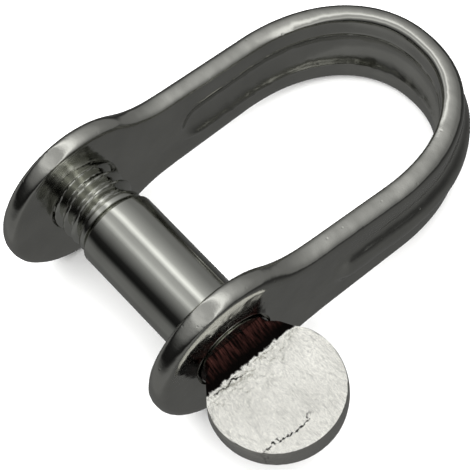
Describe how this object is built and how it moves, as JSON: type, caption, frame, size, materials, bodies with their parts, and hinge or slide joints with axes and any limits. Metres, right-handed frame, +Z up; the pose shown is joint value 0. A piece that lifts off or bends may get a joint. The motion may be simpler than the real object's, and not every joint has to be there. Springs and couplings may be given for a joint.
{
  "type": "strip shackle with screw pin",
  "caption": "Small pressed-strip D shackle in polished stainless steel with a one-piece screw pin whose round head is pressed flat for pliers or a key.",
  "frame": {"origin": "on the plane that the two eyes stand on, under the middle of the shackle's length and width", "axes": "+X along the pin towards its head, +Y from the eyes towards the crown of the bow, +Z up, across the strip"},
  "size_m": [0.0234, 0.0278, 0.0108],
  "materials": {
    "bow_steel": "pressed stainless strip, tumbled and polished, soft mirror",
    "pin_steel": "turned stainless, polished bright",
    "head_steel": "stainless pressed flat between dies, bright with a crinkled grain"
  },
  "bodies": {
    "bow": {"shackle_body": "bow_steel"},
    "pin_travel": {"pin_shank": "pin_steel"},
    "pin_screw": {"pin_thread": "pin_steel", "pin_head": "head_steel"}
  },
  "joints": [
    {"name": "pin_slide", "type": "slide", "parent": "bow", "child": "pin_travel", "axis": [1, 0, 0], "range_m": [-0.0003, 0.016]},
    {"name": "pin_turn", "type": "hinge", "parent": "pin_travel", "child": "pin_screw", "pos_m": [0, -0.00846, 0.00539], "axis": [1, 0, 0], "range_deg": [-135, 7200]}
  ],
  "couplings": [
    {"joint": "pin_turn", "follows": "pin_slide", "rad_per_m": 7854}
  ]
}
